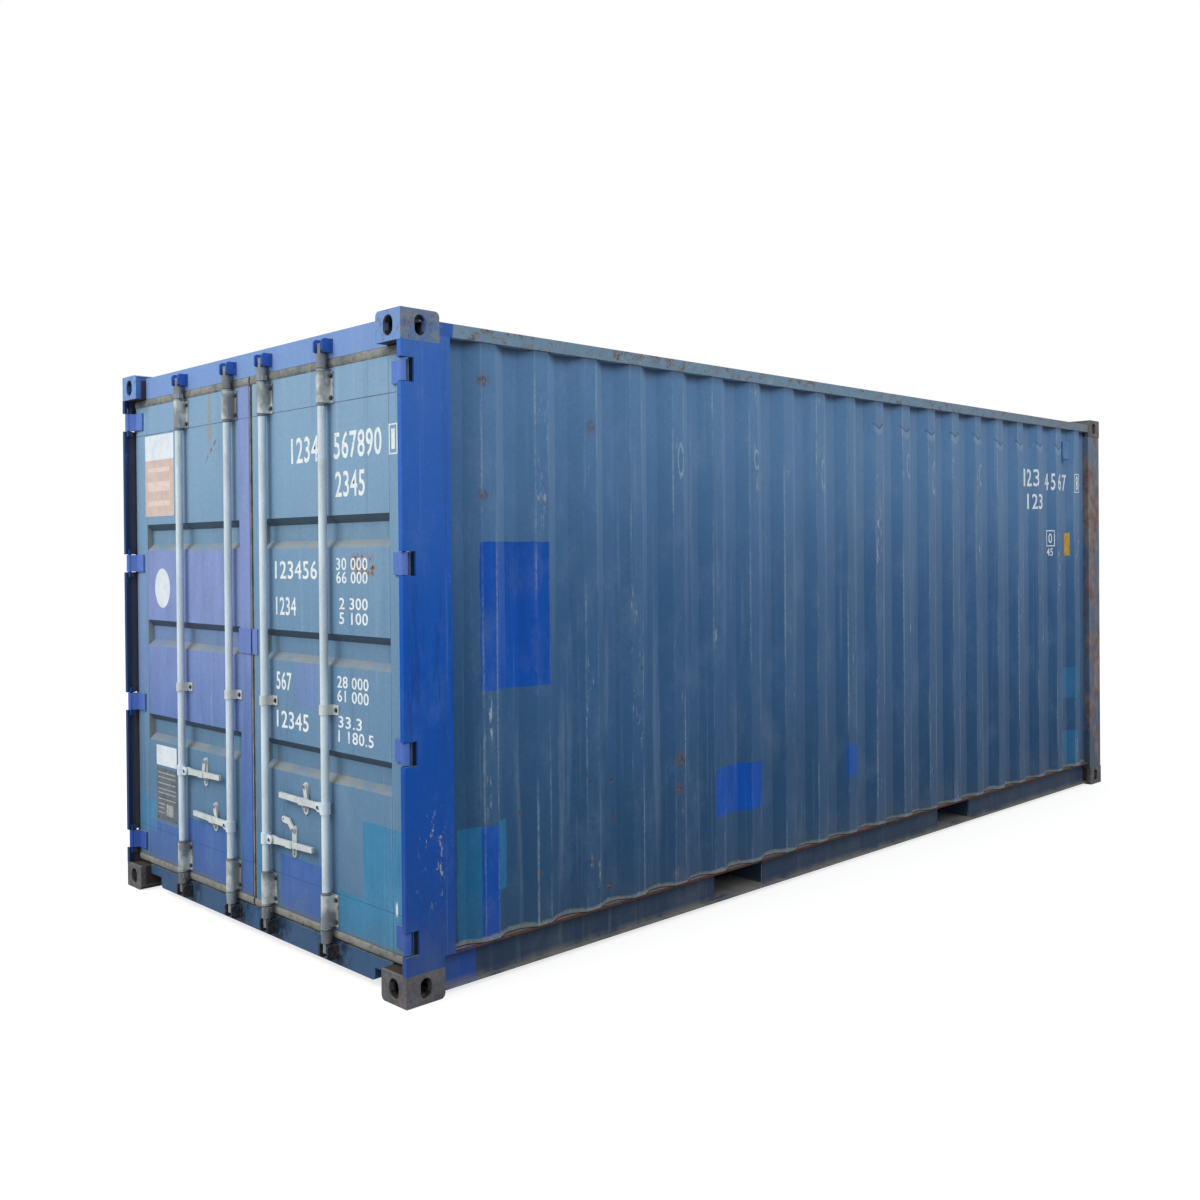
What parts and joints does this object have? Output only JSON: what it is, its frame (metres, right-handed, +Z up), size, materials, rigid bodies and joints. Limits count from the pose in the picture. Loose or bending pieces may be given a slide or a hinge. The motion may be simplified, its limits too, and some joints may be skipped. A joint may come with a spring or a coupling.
{
  "type": "shipping container, 20 ft dry freight",
  "caption": "Corrugated steel freight container with corner castings, fork pockets and two rear doors with lock rods, handles and latches.",
  "frame": {"origin": "middle of the underside of the four bottom corner castings", "axes": "+Y from the doors to the closed end, +X to the right of someone facing the doors, +Z up"},
  "size_m": [2.438, 6.058, 2.591],
  "materials": {
    "blue_paint": "satin",
    "casting_steel": "matte",
    "underbody_steel": "matte",
    "plywood": "matte",
    "floor_steel": "matte",
    "galvanised_steel": "satin",
    "door_rubber": "matte",
    "vent_plastic": "matte"
  },
  "bodies": {
    "container": {"bottom_corner_castings": "casting_steel", "top_corner_castings": "casting_steel", "rear_post_left": "blue_paint", "rear_post_right": "blue_paint", "front_posts": "blue_paint", "rear_header": "blue_paint", "rear_sill": "blue_paint", "front_end_rails": "blue_paint", "front_wall": "blue_paint", "side_wall_left": "blue_paint", "side_wall_right": "blue_paint", "top_side_rails": "blue_paint", "bottom_side_rails": "blue_paint", "cross_members": "underbody_steel", "fork_pocket_rear": "underbody_steel", "fork_pocket_front": "underbody_steel", "floor_boards": "plywood", "floor_centre_rail": "floor_steel", "roof": "blue_paint", "ventilators": "vent_plastic", "lock_keepers": "blue_paint"},
    "left_door": {"left_door_frame": "blue_paint", "left_door_panel": "blue_paint", "left_door_gasket": "door_rubber", "left_door_hinges": "blue_paint", "left_rod_bearings": "galvanised_steel", "left_handle_catches": "galvanised_steel", "left_bridge_plate": "blue_paint"},
    "left_outer_rod": {"left_outer_lock_rod": "galvanised_steel"},
    "left_outer_handle": {"left_outer_handle": "galvanised_steel"},
    "left_outer_latch": {"left_outer_latch": "galvanised_steel"},
    "left_inner_rod": {"left_inner_lock_rod": "galvanised_steel"},
    "left_inner_handle": {"left_inner_handle": "galvanised_steel"},
    "left_inner_latch": {"left_inner_latch": "galvanised_steel"},
    "right_door": {"right_door_frame": "blue_paint", "right_door_panel": "blue_paint", "right_door_gasket": "door_rubber", "right_door_hinges": "blue_paint", "right_rod_bearings": "galvanised_steel", "right_handle_catches": "galvanised_steel", "right_bridge_plate": "blue_paint"},
    "right_outer_rod": {"right_outer_lock_rod": "galvanised_steel"},
    "right_outer_handle": {"right_outer_handle": "galvanised_steel"},
    "right_outer_latch": {"right_outer_latch": "galvanised_steel"},
    "right_inner_rod": {"right_inner_lock_rod": "galvanised_steel"},
    "right_inner_handle": {"right_inner_handle": "galvanised_steel"},
    "right_inner_latch": {"right_inner_latch": "galvanised_steel"}
  },
  "joints": [
    {"name": "left_door_swing", "type": "hinge", "parent": "container", "child": "left_door", "pos_m": [-1.199, -3.009, 0], "axis": [0, 0, -1], "range_deg": [0, 266]},
    {"name": "left_outer_rod_turn", "type": "hinge", "parent": "left_door", "child": "left_outer_rod", "pos_m": [-0.638, -3.006, 0], "axis": [0, 0, 1], "range_deg": [-100, 0]},
    {"name": "left_outer_handle_lift", "type": "hinge", "parent": "left_outer_rod", "child": "left_outer_handle", "pos_m": [-0.595, -3, 0.656], "axis": [0, 1, 0], "range_deg": [-8, 0]},
    {"name": "left_outer_latch_turn", "type": "hinge", "parent": "left_door", "child": "left_outer_latch", "pos_m": [-0.4456, -2.985, 0.716], "axis": [0, -1, 0], "range_deg": [-118, 0]},
    {"name": "left_inner_rod_turn", "type": "hinge", "parent": "left_door", "child": "left_inner_rod", "pos_m": [-0.158, -3.006, 0], "axis": [0, 0, -1], "range_deg": [-100, 0]},
    {"name": "left_inner_handle_lift", "type": "hinge", "parent": "left_inner_rod", "child": "left_inner_handle", "pos_m": [-0.201, -3, 0.46], "axis": [0, -1, 0], "range_deg": [-8, 0]},
    {"name": "left_inner_latch_turn", "type": "hinge", "parent": "left_door", "child": "left_inner_latch", "pos_m": [-0.3504, -2.985, 0.52], "axis": [0, 1, 0], "range_deg": [-118, 0]},
    {"name": "right_door_swing", "type": "hinge", "parent": "container", "child": "right_door", "pos_m": [1.199, -3.009, 0], "axis": [0, 0, 1], "range_deg": [0, 266]},
    {"name": "right_outer_rod_turn", "type": "hinge", "parent": "right_door", "child": "right_outer_rod", "pos_m": [0.638, -3.006, 0], "axis": [0, 0, -1], "range_deg": [-100, 0]},
    {"name": "right_outer_handle_lift", "type": "hinge", "parent": "right_outer_rod", "child": "right_outer_handle", "pos_m": [0.595, -3, 0.656], "axis": [0, -1, 0], "range_deg": [-8, 0]},
    {"name": "right_outer_latch_turn", "type": "hinge", "parent": "right_door", "child": "right_outer_latch", "pos_m": [0.4456, -2.985, 0.716], "axis": [0, 1, 0], "range_deg": [-118, 0]},
    {"name": "right_inner_rod_turn", "type": "hinge", "parent": "right_door", "child": "right_inner_rod", "pos_m": [0.158, -3.006, 0], "axis": [0, 0, 1], "range_deg": [-100, 0]},
    {"name": "right_inner_handle_lift", "type": "hinge", "parent": "right_inner_rod", "child": "right_inner_handle", "pos_m": [0.201, -3, 0.46], "axis": [0, 1, 0], "range_deg": [-8, 0]},
    {"name": "right_inner_latch_turn", "type": "hinge", "parent": "right_door", "child": "right_inner_latch", "pos_m": [0.3504, -2.985, 0.52], "axis": [0, -1, 0], "range_deg": [0, 118]}
  ]
}
